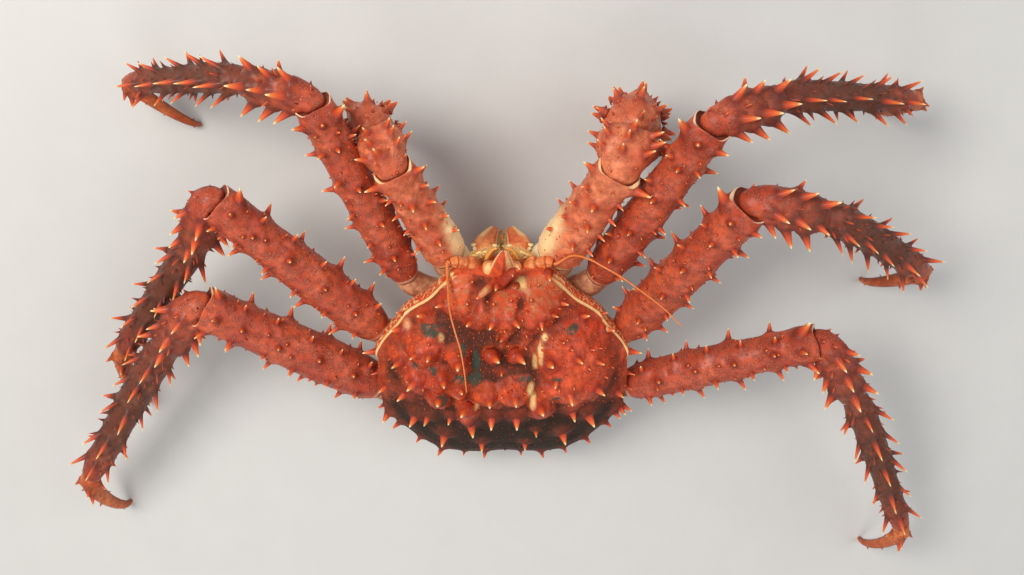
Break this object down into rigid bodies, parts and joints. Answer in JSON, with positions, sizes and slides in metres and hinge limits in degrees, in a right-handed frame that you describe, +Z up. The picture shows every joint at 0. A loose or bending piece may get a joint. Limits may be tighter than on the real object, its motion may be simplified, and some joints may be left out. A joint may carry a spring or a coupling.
{
  "type": "southern king crab",
  "caption": "Life-size still model of a southern king crab: broad spiny shell, arched spiny walking legs and down-turned claws, standing on its leg tips.",
  "frame": {"origin": "on the floor, under the middle of the whole stance's box", "axes": "+Z up, -Y the way the head faces, +X the animal's own left side"},
  "size_m": [0.5104, 0.3229, 0.1316],
  "materials": {
    "carapace_shell": "hard red-orange shell, spines with pale tips, semi-gloss wet look",
    "leg_shell": "salmon-red shell with fine pale granules, semi-gloss",
    "dactyl_tip": "orange-amber claw horn, smooth",
    "claw_shell": "salmon-red shell, pale cream on the inner face",
    "claw_finger": "orange shell with a darker gape",
    "pale_underside": "pale yellow-orange soft shell",
    "mouthparts": "orange-peach shell plates",
    "feelers": "bright orange whip",
    "dark_eye": "black glossy cornea"
  },
  "bodies": {
    "root": {"abdomen_base": "pale_underside", "abdomen_flap": "pale_underside", "antenna_l": "mouthparts", "antenna_r": "mouthparts", "antennule_l": "feelers", "antennule_r": "feelers", "carapace": "carapace_shell", "claw_l_carpus": "claw_shell", "claw_l_finger": "claw_finger", "claw_l_hip": "pale_underside", "claw_l_merus": "claw_shell", "claw_l_palm": "claw_shell", "claw_r_carpus": "claw_shell", "claw_r_finger": "claw_finger", "claw_r_hip": "pale_underside", "claw_r_merus": "claw_shell", "claw_r_palm": "claw_shell", "eye_l": "dark_eye", "eye_r": "dark_eye", "flagellum_l": "feelers", "flagellum_r": "feelers", "leg_l1_carpus": "leg_shell", "leg_l1_dactyl": "dactyl_tip", "leg_l1_hip": "pale_underside", "leg_l1_merus": "leg_shell", "leg_l1_propodus": "leg_shell", "leg_l2_carpus": "leg_shell", "leg_l2_dactyl": "dactyl_tip", "leg_l2_hip": "pale_underside", "leg_l2_merus": "leg_shell", "leg_l2_propodus": "leg_shell", "leg_l3_carpus": "leg_shell", "leg_l3_dactyl": "dactyl_tip", "leg_l3_hip": "pale_underside", "leg_l3_merus": "leg_shell", "leg_l3_propodus": "leg_shell", "leg_r1_carpus": "leg_shell", "leg_r1_dactyl": "dactyl_tip", "leg_r1_hip": "pale_underside", "leg_r1_merus": "leg_shell", "leg_r1_propodus": "leg_shell", "leg_r2_carpus": "leg_shell", "leg_r2_dactyl": "dactyl_tip", "leg_r2_hip": "pale_underside", "leg_r2_merus": "leg_shell", "leg_r2_propodus": "leg_shell", "leg_r3_carpus": "leg_shell", "leg_r3_dactyl": "dactyl_tip", "leg_r3_hip": "pale_underside", "leg_r3_merus": "leg_shell", "leg_r3_propodus": "leg_shell", "maxilliped_l": "mouthparts", "maxilliped_palp_l": "mouthparts", "maxilliped_palp_r": "mouthparts", "maxilliped_r": "mouthparts", "mouth": "mouthparts", "thorax": "pale_underside"}
  },
  "joints": []
}
